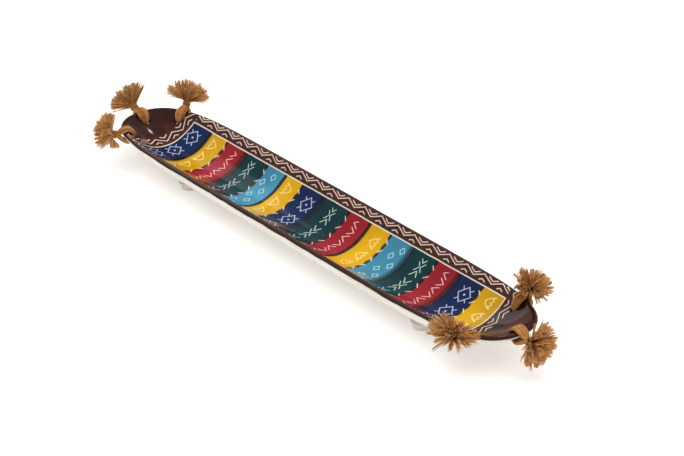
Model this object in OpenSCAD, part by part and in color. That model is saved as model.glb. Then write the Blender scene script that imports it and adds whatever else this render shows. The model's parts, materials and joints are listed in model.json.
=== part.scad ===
// Long boat-shaped ceramic serving tray on four low feet, with six yarn tassels.
// Each tassel is a yarn loop round the rim through a hole in the wall, a tie, and a loose fringe.
// Origin: centre of the tray on the table it stands on. +X along the tray, +Z up.

/* [Tray] */
// Length over the rim
tray_length = 450; // [430:1:470]
// Width over the rim
tray_width = 78; // [74:1:84]
// Height of the rim above the table
tray_height = 30; // [29:0.5:33]
// Depth of the hollow below the rim at mid-length
hollow_depth = 21.7; // [18:0.1:22]
// Radius of the rounded rim, half the wall's thickness there
rim_radius = 2.6; // [2.4:0.1:2.8]

/* [Feet] */
// Radius of a foot's flat underside
foot_radius = 6.5; // [5:0.5:7]
// Height of the body's underside above the table
foot_height = 4; // [3:0.5:5]
// Distance of the feet from mid-length
foot_x = 138; // [110:1:150]
// Distance of the feet from the centre line
foot_y = 13; // [10:1:14]

/* [Tassel holes] */
// Radius of each hole through the wall
hole_radius = 2.9; // [2.8:0.1:3.2]
// Place of the left end's two side tassels, from mid-length
left_side_x = 203; // [190:1:205]
// Place of the right end's far tassel, from mid-length
right_back_x = 193; // [190:1:205]
// Place of the right end's near tassel, from mid-length
right_front_x = 198; // [190:1:205]

/* [Tassels] */
// Radius of the loop's centreline round the rim
loop_radius = 6.3; // [6.2:0.05:6.5]
// Half the loop's thickness, measured away from the rim
loop_half_thick = 1.6; // [1.2:0.1:1.7]
// Half the loop's width, measured along the rim
loop_half_wide = 2.2; // [1.5:0.1:2.3]
// Radius of the fringe where the tie grips it
neck_radius = 2.3; // [1.8:0.1:2.5]
// Outer radius of the tie
tie_radius = 3; // [2.8:0.1:3.2]
// Length of the tie along the tassel
tie_length = 2.8; // [2:0.1:3.2]
// Radius of the open fringe
fringe_radius = 15; // [9:0.5:15]
// Length of the fringe past the tie
fringe_length = 19; // [15:0.5:22]

/* [Rise of each tassel above level, in degrees] */
// Left end, far side
left_back_rise = 52; // [-20:1:90]
// Left tip
left_tip_rise = 27; // [-20:1:90]
// Left end, near side
left_front_rise = 9; // [-20:1:90]
// Right end, far side
right_back_rise = 62; // [-20:1:90]
// Right tip
right_tip_rise = -4; // [-20:1:90]
// Right end, near side
right_front_rise = 28; // [-20:1:90]

/* [Hidden] */

glaze_white = [0.93, 0.90, 0.85];
yarn_gold = [0.74, 0.50, 0.27];
yarn_dark = [0.62, 0.40, 0.20];

// Plan of the tray: straight sides that turn into blunt round noses
half_length = tray_length / 2;
half_width = tray_width / 2;
side_power = 8;
nose_power = 2.33;
function plan_y(x, a, b) = b * pow(max(0, 1 - pow(abs(x) / a, side_power)), 1 / nose_power);

// The rim is an arc that starts level with the outer wall and stops at the slope of the hollow
rim_turn = 50;
rim_in = rim_radius * (1 + sin(rim_turn));
lip_drop = rim_radius * (1 - cos(rim_turn));
hollow_a = half_length - rim_in;
hollow_b = half_width - rim_in;

// Cross-sections of the hollow and of the underside, flat along the middle and rising at both ends
hollow_end_power = 7.6;
hollow_side_power = 2.06;
under_end_power = 7.5;
under_side_power = 2.7;
under_top = tray_height - rim_radius;
function bowl(x, y, a, b, top, depth, end_power, side_power_y) =
    let (w = plan_y(x, a, b), v = w > 0.001 ? min(1, abs(y) / w) : 1)
    top - depth * (1 - pow(min(1, abs(x) / a), end_power)) * (1 - pow(v, side_power_y));
function hollow_z(x, y) =
    bowl(x, y, hollow_a, hollow_b, tray_height - lip_drop, hollow_depth - lip_drop,
         hollow_end_power, hollow_side_power);
function under_z(x, y) =
    bowl(x, y, half_length, half_width, under_top, under_top - foot_height,
         under_end_power, under_side_power);

// The body is a stack of closed rings: up the hollow, over the rim and down to the underside
ring_points = 104;
hollow_steps = [0.12, 0.26, 0.4, 0.53, 0.65, 0.76, 0.85, 0.92, 0.97];
under_steps = [0.985, 0.94, 0.87, 0.78, 0.66, 0.52, 0.36, 0.18];
rim_angles = [rim_turn : -20 : -90];

// Points crowd towards the two noses, where the plan curves most
function outline(a, b) = [
    for (i = [0 : ring_points - 1])
        let (t = 360 * i / ring_points, x = a * cos(t))
        [x, sign(sin(t)) * plan_y(x, a, b)]
];
hollow_rings = [
    for (s = hollow_steps)
        [for (p = outline(hollow_a, hollow_b)) [s * p[0], s * p[1], hollow_z(s * p[0], s * p[1])]]
];
rim_rings = [
    for (turn = rim_angles)
        let (inset = rim_radius * (1 + sin(turn)), z = under_top + rim_radius * cos(turn))
        [for (p = outline(half_length - inset, half_width - inset)) [p[0], p[1], z]]
];
under_rings = [
    for (s = under_steps)
        [for (p = outline(half_length, half_width)) [s * p[0], s * p[1], under_z(s * p[0], s * p[1])]]
];
body_rings = concat(hollow_rings, rim_rings, under_rings);
body_points = concat(
    [[0, 0, hollow_z(0, 0)]],
    [for (ring = body_rings) each ring],
    [[0, 0, under_z(0, 0)]]
);
ring_count = len(body_rings);
function at(ring, i) = 1 + ring * ring_points + i % ring_points;
body_faces = concat(
    [for (i = [0 : ring_points - 1]) [0, at(0, i + 1), at(0, i)]],
    [for (r = [0 : ring_count - 2], i = [0 : ring_points - 1]) each [
        [at(r, i), at(r, i + 1), at(r + 1, i + 1)],
        [at(r, i), at(r + 1, i + 1), at(r + 1, i)]
    ]],
    [for (i = [0 : ring_points - 1])
        [len(body_points) - 1, at(ring_count - 1, i), at(ring_count - 1, i + 1)]]
);

// A tassel's place: [mid-point of the rim's bar, heading of the tassel, rise, slope of the wall]
bar_inset = 3.6;
side_bar_drop = 3.7;
tip_bar_drop = 3.4;
side_wall_slope = 38;
tip_wall_slope = 34;
edge_step = 0.1;
function edge_y(x) = plan_y(x, half_length, half_width);
function side_place(sx, sy, x, rise) =
    let (heading = atan2(sy * 2 * edge_step, sx * (edge_y(x - edge_step) - edge_y(x + edge_step))))
    [[sx * x - bar_inset * cos(heading), sy * edge_y(x) - bar_inset * sin(heading),
      tray_height - side_bar_drop], heading, rise, side_wall_slope];
function tip_place(sx, rise) =
    [[sx * (half_length - bar_inset), 0, tray_height - tip_bar_drop],
     sx > 0 ? 0 : 180, rise, tip_wall_slope];

left_back = side_place(-1, 1, left_side_x, left_back_rise);
left_tip = tip_place(-1, left_tip_rise);
left_front = side_place(-1, -1, left_side_x, left_front_rise);
right_back = side_place(1, 1, right_back_x, right_back_rise);
right_tip = tip_place(1, right_tip_rise);
right_front = side_place(1, -1, right_front_x, right_front_rise);
places = [left_back, left_tip, left_front, right_back, right_tip, right_front];

// Along a tassel, measured from the middle of the rim's bar
tie_start = loop_radius + loop_half_thick + 0.4;
tie_end = tie_start + tie_length;
fringe_end = tie_end + fringe_length;
hole_depth = 20;

// A foot widens a little upwards and ends inside the wall
foot_overlap = 5;
foot_flare = 1;

// Puts a tassel's own frame in place: X along the tassel, Z along the rim
module at_tassel(place) {
    translate(place[0])
        rotate([0, 0, place[1]])
            rotate([0, -place[2], 0])
                rotate([90, 0, 0])
                    children();
}

// One round hole square through the sloping wall, just inside the rim's bar
module wall_hole(place) {
    translate(place[0])
        rotate([0, 0, place[1]])
            rotate([0, -place[3], 0])
                translate([-loop_radius, 0, 0])
                    cylinder(h = hole_depth, r = hole_radius, center = true, $fn = 48);
}

// The fired body with its hollow, rounded rim, four feet and six holes
module dish() {
    color(glaze_white)
    difference() {
        union() {
            polyhedron(points = body_points, faces = body_faces, convexity = 6);
            for (sx = [-1, 1], sy = [-1, 1])
                translate([sx * foot_x, sy * foot_y, 0])
                    cylinder(h = foot_height + foot_overlap, r1 = foot_radius,
                             r2 = foot_radius + foot_flare, $fn = 64);
        }
        for (place = places) wall_hole(place);
    }
}

// Yarn loop through the hole and round the rim
module loop(place) {
    section = [
        for (turn = [0 : 30 : 330])
            [loop_radius + loop_half_thick * cos(turn), loop_half_wide * sin(turn)]
    ];
    color(yarn_gold)
    at_tassel(place)
        rotate_extrude($fn = 64)
            polygon(section);
}

// Band of yarn wound round the neck
module tie(place) {
    edge = 0.6;
    band = [
        [neck_radius, tie_start], [tie_radius - edge, tie_start], [tie_radius, tie_start + edge],
        [tie_radius, tie_end - edge], [tie_radius - edge, tie_end], [neck_radius, tie_end]
    ];
    color(yarn_dark)
    at_tassel(place)
        rotate([0, 90, 0])
            rotate_extrude($fn = 48)
                polygon(band);
}

// Outer shape of the loose ends: a neck inside the tie that opens wide into a domed brush
module fringe(place) {
    flare_steps = 6;
    dome_steps = 6;
    flare_length = 0.42 * fringe_length;
    dome_length = fringe_length - flare_length;
    flare = [
        for (i = [0 : flare_steps])
            let (s = i / flare_steps)
            [neck_radius + (fringe_radius - neck_radius) * sin(90 * s), tie_end + flare_length * s]
    ];
    dome = [
        for (i = [1 : dome_steps])
            let (s = 90 * i / dome_steps)
            [i == dome_steps ? 0 : fringe_radius * cos(s), tie_end + flare_length + dome_length * sin(s)]
    ];
    color(yarn_gold)
    at_tassel(place)
        rotate([0, 90, 0])
            rotate_extrude($fn = 48)
                polygon(concat([[0, tie_start], [neck_radius, tie_start]], flare, dome));
}

dish();
loop(left_back);  // left_back_loop
tie(left_back);  // left_back_tie
fringe(left_back);  // left_back_fringe
loop(left_tip);  // left_tip_loop
tie(left_tip);  // left_tip_tie
fringe(left_tip);  // left_tip_fringe
loop(left_front);  // left_front_loop
tie(left_front);  // left_front_tie
fringe(left_front);  // left_front_fringe
loop(right_back);  // right_back_loop
tie(right_back);  // right_back_tie
fringe(right_back);  // right_back_fringe
loop(right_tip);  // right_tip_loop
tie(right_tip);  // right_tip_tie
fringe(right_tip);  // right_tip_fringe
loop(right_front);  // right_front_loop
tie(right_front);  // right_front_tie
fringe(right_front);  // right_front_fringe
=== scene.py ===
"""Looks of a long glazed serving tray with six yarn tassels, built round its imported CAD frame."""

from __future__ import annotations

import json
import logging
import math
from contextlib import contextmanager
from dataclasses import dataclass, field
from enum import Enum
from typing import Iterator, Sequence

import bpy
import numpy as np
from mathutils import Matrix, Vector


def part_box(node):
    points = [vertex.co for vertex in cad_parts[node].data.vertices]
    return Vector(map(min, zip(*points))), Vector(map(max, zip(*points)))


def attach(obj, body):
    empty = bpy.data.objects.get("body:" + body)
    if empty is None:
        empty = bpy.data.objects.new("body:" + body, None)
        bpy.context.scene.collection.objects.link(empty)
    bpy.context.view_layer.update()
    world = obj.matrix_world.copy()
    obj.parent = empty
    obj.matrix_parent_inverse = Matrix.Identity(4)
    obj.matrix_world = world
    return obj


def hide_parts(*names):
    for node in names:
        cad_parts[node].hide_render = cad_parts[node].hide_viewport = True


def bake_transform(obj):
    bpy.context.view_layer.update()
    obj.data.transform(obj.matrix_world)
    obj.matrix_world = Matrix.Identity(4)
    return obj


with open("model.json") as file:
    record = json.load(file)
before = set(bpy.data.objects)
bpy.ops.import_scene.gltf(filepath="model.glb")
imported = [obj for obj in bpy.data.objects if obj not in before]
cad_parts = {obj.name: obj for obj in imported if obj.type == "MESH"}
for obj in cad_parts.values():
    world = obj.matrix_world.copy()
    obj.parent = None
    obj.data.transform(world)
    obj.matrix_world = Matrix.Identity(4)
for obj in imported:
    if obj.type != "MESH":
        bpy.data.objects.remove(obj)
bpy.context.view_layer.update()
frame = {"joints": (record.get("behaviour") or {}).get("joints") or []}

LOG = logging.getLogger("serving_tray")
MM = 0.001
Colour = tuple[float, float, float]
Number = "float | Field"
TOE_END, TOE_SLOPE, TOE_LIFT, SCREEN_POWER = 0.04045, 12.92, 0.055, 2.4


def paint_colour(red: int, green: int, blue: int) -> Colour:
    """Turns a colour as a screen shows it, 0 to 255, into the linear numbers that a shader takes.

    Args:
        red: Red from 0 to 255.
        green: Green from 0 to 255.
        blue: Blue from 0 to 255.

    Returns:
        The three linear values.
    """

    def linear(value: float) -> float:
        """Turns one part of the colour."""
        share = value / 255
        return share / TOE_SLOPE if share <= TOE_END else ((share + TOE_LIFT) / (1 + TOE_LIFT)) ** SCREEN_POWER

    return linear(red), linear(green), linear(blue)


# ---------------------------------------------------------------- editing helpers


def deselect() -> None:
    """Deselects every object and leaves none active."""
    if bpy.context.object is not None and bpy.context.object.mode != "OBJECT":
        bpy.ops.object.mode_set(mode="OBJECT")
    bpy.ops.object.select_all(action="DESELECT")
    bpy.context.view_layer.objects.active = None


def activate(piece: bpy.types.Object) -> None:
    """Selects one object alone and makes it active.

    Args:
        piece: The object.
    """
    deselect()
    piece.select_set(True)
    bpy.context.view_layer.objects.active = piece


@contextmanager
def editing(piece: bpy.types.Object) -> Iterator[None]:
    """Opens a piece in edit mode for the length of a with block.

    Args:
        piece: The mesh object.

    Yields:
        Nothing, while the piece is open.
    """
    activate(piece)
    bpy.ops.object.mode_set(mode="EDIT")
    yield
    bpy.ops.object.mode_set(mode="OBJECT")


def points_of(piece: bpy.types.Object) -> np.ndarray:
    """Reads a mesh's points.

    Args:
        piece: The mesh object.

    Returns:
        An array of rows x, y, z in metres.
    """
    flat = np.zeros(len(piece.data.vertices) * 3, np.float32)
    piece.data.vertices.foreach_get("co", flat)
    return flat.reshape(-1, 3).astype(float)


def move_points(piece: bpy.types.Object, points: np.ndarray) -> None:
    """Writes a mesh's points back from an array of rows x, y, z."""
    piece.data.vertices.foreach_set("co", points.astype(np.float32).ravel())
    piece.data.update()


def apply_modifier(piece: bpy.types.Object, kind: str, **settings: object) -> None:
    """Adds a modifier to a piece, sets it and applies it.

    Args:
        piece: The mesh object.
        kind: The modifier's type.
        **settings: Its settings by name.
    """
    activate(piece)
    modifier = piece.modifiers.new(kind.title(), kind)
    for name, value in settings.items():
        setattr(modifier, name, value)
    bpy.ops.object.modifier_apply(modifier=modifier.name)


def store_field(piece: bpy.types.Object, name: str, values: np.ndarray) -> None:
    """Keeps one number for each point of a mesh, for its finish to read.

    Args:
        piece: The mesh object.
        name: The attribute's name.
        values: One number for each point.
    """
    attribute = piece.data.attributes.new(name, "FLOAT", "POINT")
    attribute.data.foreach_set("value", values.astype(np.float32))


# ---------------------------------------------------------------- shader maths


class Field:
    """A number that changes over a surface. Arithmetic on it adds Math nodes."""

    def __init__(self, sheet: "NodeSheet", socket: bpy.types.NodeSocket) -> None:
        """Keeps the sheet that the number belongs to and the socket that gives it."""
        self.sheet = sheet
        self.socket = socket

    def __add__(self, other: Number) -> "Field":
        """Adds another number."""
        return self.sheet.maths("ADD", self, other)

    __radd__ = __add__

    def __sub__(self, other: Number) -> "Field":
        """Takes another number away."""
        return self.sheet.maths("SUBTRACT", self, other)

    def __rsub__(self, other: Number) -> "Field":
        """Takes this number away from another."""
        return self.sheet.maths("SUBTRACT", other, self)

    def __mul__(self, other: Number) -> "Field":
        """Multiplies by another number."""
        return self.sheet.maths("MULTIPLY", self, other)

    __rmul__ = __mul__

    def __truediv__(self, other: Number) -> "Field":
        """Divides by another number."""
        return self.sheet.maths("DIVIDE", self, other)

    def __neg__(self) -> "Field":
        """Turns the sign round."""
        return self.sheet.maths("MULTIPLY", self, -1.0)

    def __abs__(self) -> "Field":
        """Drops the sign."""
        return self.sheet.maths("ABSOLUTE", self)

    def root(self) -> "Field":
        """Takes the square root."""
        return self.sheet.maths("SQRT", self)

    def sine(self) -> "Field":
        """Takes the sine, in radians."""
        return self.sheet.maths("SINE", self)

    def least(self, other: Number) -> "Field":
        """Keeps the lower of two numbers."""
        return self.sheet.maths("MINIMUM", self, other)

    def most(self, other: Number) -> "Field":
        """Keeps the higher of two numbers."""
        return self.sheet.maths("MAXIMUM", self, other)

    def wrapped(self, half: float) -> "Field":
        """Repeats the number so that it stays between minus half and plus half."""
        return self.sheet.maths("WRAP", self, half, -half)

    def rise(self, low: float, high: float) -> "Field":
        """Goes smoothly from 0 to 1.

        Args:
            low: The number at which it leaves 0.
            high: The number at which it reaches 1.

        Returns:
            The new number.
        """
        node = self.sheet.add(
            "ShaderNodeMapRange",
            {"interpolation_type": "SMOOTHSTEP", "clamp": True},
            {"Value": self, "From Min": low, "From Max": high},
        )
        return Field(self.sheet, node.outputs["Result"])

    def fall(self, low: float, high: float) -> "Field":
        """Goes smoothly from 1 at low to 0 at high."""
        return 1 - self.rise(low, high)

    def stroke(self, half_width: float, soft: float = 0.22) -> "Field":
        """Reads the number as a distance and draws a line of that half width."""
        return self.fall(half_width - soft, half_width + soft)


class NodeSheet:
    """The node tree of one finish."""

    def __init__(self, name: str) -> None:
        """Makes an empty material.

        Args:
            name: The material's name.
        """
        self.material = bpy.data.materials.new(name)
        self.material.use_nodes = True
        self.tree = self.material.node_tree
        self.tree.nodes.clear()

    def add(self, kind: str, settings: dict | None = None, sockets: dict | None = None) -> bpy.types.Node:
        """Adds one node.

        Args:
            kind: The node's type.
            settings: The node's own settings, which are set first.
            sockets: Values or links of its input sockets, by name or number.

        Returns:
            The new node.
        """
        node = self.tree.nodes.new(kind)
        for name, value in (settings or {}).items():
            setattr(node, name, value)
        for name, value in (sockets or {}).items():
            if isinstance(value, Field):
                value = value.socket
            if isinstance(value, bpy.types.NodeSocket):
                self.tree.links.new(value, node.inputs[name])
            elif isinstance(value, tuple) and len(node.inputs[name].default_value) == 4:
                node.inputs[name].default_value = (*value, 1.0)
            else:
                node.inputs[name].default_value = value
        return node

    def maths(self, operation: str, *values: Number) -> Field:
        """Adds one Math node on numbers or fields."""
        node = self.add("ShaderNodeMath", {"operation": operation}, dict(enumerate(values)))
        return Field(self, node.outputs[0])

    def attribute(self, name: str) -> Field:
        """Reads a number that the mesh keeps for each point."""
        node = self.add("ShaderNodeAttribute", {"attribute_name": name})
        return Field(self, node.outputs["Fac"])

    def place(self) -> tuple[Field, Field, Field]:
        """Reads the point's own place.

        Returns:
            Its x, y and z in millimetres.
        """
        where = self.add("ShaderNodeTexCoord").outputs["Object"]
        parts = self.add("ShaderNodeSeparateXYZ", None, {0: where})
        return tuple(Field(self, parts.outputs[i]) * (1 / MM) for i in range(3))

    def strand_map(self) -> tuple[Field, Field]:
        """Reads the map of a strand.

        Returns:
            The distance along the strand in millimetres and the turn round it.
        """
        where = self.add("ShaderNodeUVMap", {"uv_map": STRAND_MAP}).outputs["UV"]
        parts = self.add("ShaderNodeSeparateXYZ", None, {0: where})
        return Field(self, parts.outputs[0]), Field(self, parts.outputs[1])

    def noise(self, spacing: float, detail: float = 2.0, stretch: tuple = (1.0, 1.0, 1.0)) -> tuple[Field, Field]:
        """Adds a cloudy noise on the object's own place.

        Args:
            spacing: Size of the clouds in metres.
            detail: Octaves of finer noise.
            stretch: Scale of the three axes.

        Returns:
            Two independent noise values, both about 0.5.
        """
        where = self.add("ShaderNodeTexCoord").outputs["Object"]
        scaled = self.add("ShaderNodeMapping", None, {"Vector": where, "Scale": Vector(stretch)})
        node = self.add(
            "ShaderNodeTexNoise", None, {"Vector": scaled.outputs[0], "Scale": 1 / spacing, "Detail": detail}
        )
        parts = self.add("ShaderNodeSeparateColor", None, {0: node.outputs["Color"]})
        return Field(self, parts.outputs[0]), Field(self, parts.outputs[1])

    def blend(self, mask: Number, under: object, over: object) -> bpy.types.NodeSocket:
        """Lays one colour over another.

        Args:
            mask: 0 shows the colour under, 1 the colour over.
            under: A colour or a colour socket.
            over: A colour or a colour socket.

        Returns:
            The mixed colour's socket.
        """
        node = self.add("ShaderNodeMix", {"data_type": "RGBA"}, {0: mask, 6: under, 7: over})
        return node.outputs[2]

    def segment(self, across: Field, along: Field, start: tuple, end: tuple) -> Field:
        """Measures the distance to a straight stroke.

        Args:
            across: First coordinate of the point.
            along: Second coordinate of the point.
            start: The stroke's first end.
            end: The stroke's second end.

        Returns:
            The distance.
        """
        run = (end[0] - start[0], end[1] - start[1])
        size = run[0] ** 2 + run[1] ** 2
        p, q = across - start[0], along - start[1]
        share = ((p * run[0] + q * run[1]) / size).most(0.0).least(1.0)
        p, q = p - share * run[0], q - share * run[1]
        return (p * p + q * q).root()

    def finish(self, colour: object, height: Field | None, lift: float, **sockets: object) -> bpy.types.Material:
        """Ends the sheet in a Principled shader.

        Args:
            colour: Base colour or its socket.
            height: Relief in millimetres, or None.
            lift: Strength of the relief.
            **sockets: More of the shader's sockets, with _ for a space.

        Returns:
            The finished material.
        """
        values = {name.replace("_", " "): value for name, value in sockets.items()}
        if height is not None:
            bump = self.add("ShaderNodeBump", None, {"Height": height, "Distance": MM, "Strength": lift})
            values["Normal"] = bump.outputs[0]
        shader = self.add("ShaderNodeBsdfPrincipled", None, {"Base Color": colour, **values})
        self.add("ShaderNodeOutputMaterial", None, {0: shader.outputs[0]})
        return self.material


# ---------------------------------------------------------------- painted decoration


class Motif(Enum):
    """The five figures painted in the stripes."""

    DIAMOND = "diamond"
    FAN = "fan"
    CHEVRON = "chevron"
    CROSS = "cross"
    LOZENGE = "lozenge"


class Edge(Enum):
    """How a stripe meets the stripe before it."""

    FINE = "fine"
    SOFT = "soft"
    BOLD = "bold"
    STITCHED = "stitched"


@dataclass(frozen=True)
class Stripe:
    """One painted stripe across the hollow.

    Args:
        start: Where it begins, in millimetres from mid-length.
        middle: Where its row of figures stands.
        motif: The figure it carries.
        edge: How it meets the stripe before it.
        flip: -1.0 where its figures face the other way.
        slide: How far its figures are moved across the hollow, in millimetres.
    """

    start: float
    middle: float
    motif: Motif
    edge: Edge
    flip: float = 1.0
    slide: float = 0.0


STRIPES = (
    Stripe(-185.5, -177.6, Motif.DIAMOND, Edge.FINE, slide=-1.8),
    Stripe(-163.5, -156.0, Motif.FAN, Edge.FINE),
    Stripe(-143.8, -130.8, Motif.CHEVRON, Edge.STITCHED, -1.0),
    Stripe(-119.3, -107.4, Motif.CROSS, Edge.SOFT),
    Stripe(-92.0, -83.0, Motif.LOZENGE, Edge.STITCHED),
    Stripe(-68.8, -60.0, Motif.FAN, Edge.BOLD),
    Stripe(-48.5, -33.7, Motif.DIAMOND, Edge.STITCHED),
    Stripe(-22.3, -7.2, Motif.CROSS, Edge.SOFT),
    Stripe(7.5, 20.0, Motif.CHEVRON, Edge.STITCHED),
    Stripe(32.3, 44.9, Motif.FAN, Edge.BOLD, -1.0, -2.3),
    Stripe(54.8, 69.4, Motif.LOZENGE, Edge.STITCHED),
    Stripe(79.8, 95.2, Motif.CROSS, Edge.SOFT),
    Stripe(105.8, 119.9, Motif.CHEVRON, Edge.STITCHED),
    Stripe(129.8, 144.3, Motif.DIAMOND, Edge.SOFT),
    Stripe(154.5, 168.0, Motif.FAN, Edge.STITCHED, -1.0),
)
STRIPES_END = 178.0
PANEL_START = -186.0
GROUNDS: dict[Motif, Colour] = {
    Motif.DIAMOND: paint_colour(6, 36, 84),
    Motif.FAN: paint_colour(229, 175, 0),
    Motif.CHEVRON: paint_colour(166, 28, 43),
    Motif.CROSS: paint_colour(0, 55, 61),
    Motif.LOZENGE: paint_colour(72, 150, 181),
}
INKS: dict[Motif, Colour] = {
    Motif.DIAMOND: paint_colour(196, 210, 238),
    Motif.FAN: paint_colour(255, 222, 150),
    Motif.CHEVRON: paint_colour(252, 196, 186),
    Motif.CROSS: paint_colour(196, 224, 206),
    Motif.LOZENGE: paint_colour(176, 228, 236),
}
BROWN = paint_colour(64, 38, 30)
CAP_BROWN = paint_colour(44, 12, 5)
# Reddish streaks laid over the brown ends are a painted reflection.
CAP_RED_REFLECTION = paint_colour(88, 32, 16)
WARM_BROWN = paint_colour(78, 36, 22)
RIM_BROWN = paint_colour(38, 18, 12)
DARK_EDGE = paint_colour(16, 8, 10)
PEACH = paint_colour(250, 216, 198)
CREAM = paint_colour(246, 232, 214)
WHITE_GLAZE = paint_colour(232, 226, 214)
THIN_GLAZE = paint_colour(222, 212, 196)
SPECK = paint_colour(168, 146, 120)
BARE_CLAY = paint_colour(206, 186, 160)


@dataclass(frozen=True)
class Row:
    """Where the figures of one row stand across the hollow, in millimetres.

    Args:
        first: Where one of them stands.
        half: Half the distance from one to the next.
    """

    first: float
    half: float

    def across(self, v: Field) -> Field:
        """Gives the distance across the hollow from the nearest figure."""
        return (v - self.first).wrapped(self.half)


DIAMOND_ROW = Row(2.9, 9.25)
FAN_ROW = Row(10.2, 7.0)
CHEVRON_ROW = Row(0.4, 3.4)
CHEVRON_PAIRS = Row(0.4, 6.8)
CROSS_ROW = Row(2.7, 10.15)
NEAR_LOZENGES, FAR_LOZENGES = Row(12.7, 7.1), Row(5.6, 7.1)
STITCH_ROW, STITCH_PAIRS = Row(1.5, 4.3), Row(1.5, 8.6)


@dataclass(frozen=True)
class DarkLine:
    """A dark line where two stripes meet, in millimetres.

    Args:
        back: How far it lies before the stripe's start.
        core: Half width of its darkest part.
        fade: Distance at which it is gone.
        strength: How dark it is, 0 to 1.
    """

    back: float
    core: float
    fade: float
    strength: float


DARK_LINES = {
    Edge.FINE: DarkLine(1.0, 0.9, 2.8, 0.9),
    Edge.SOFT: DarkLine(0.6, 0.6, 4.6, 0.82),
    Edge.BOLD: DarkLine(0.6, 1.3, 2.2, 1.0),
}


@dataclass(frozen=True)
class ZigzagRun:
    """One run of the border's zigzag, in millimetres.

    Args:
        pitch: Length of one zigzag.
        valley: Where one of its inner corners stands.
        base: Distance of its inner corners from the panel.
        height: Distance from its inner to its outer corners.
        outside: Distance from the zigzag to the chevrons outside it.
        inside: Distance from the zigzag to the chevrons inside it.
        open: Share of a leg that the chevrons outside it leave free.
    """

    pitch: float
    valley: float
    base: float
    height: float
    outside: float
    inside: float
    open: float

    def turn(self, along: Field) -> Field:
        """Gives 0 at the inner corners and 1 at the outer ones."""
        return abs((along - self.valley).wrapped(self.pitch / 2)) / (self.pitch / 2)


SIDE_RUN = ZigzagRun(18.8, -84.9, 3.5, 4.2, 2.2, 3.8, 0.46)
END_RUN = ZigzagRun(16.3, 3.2, 4.2, 5.2, 4.1, 4.2, 0.36)


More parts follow.
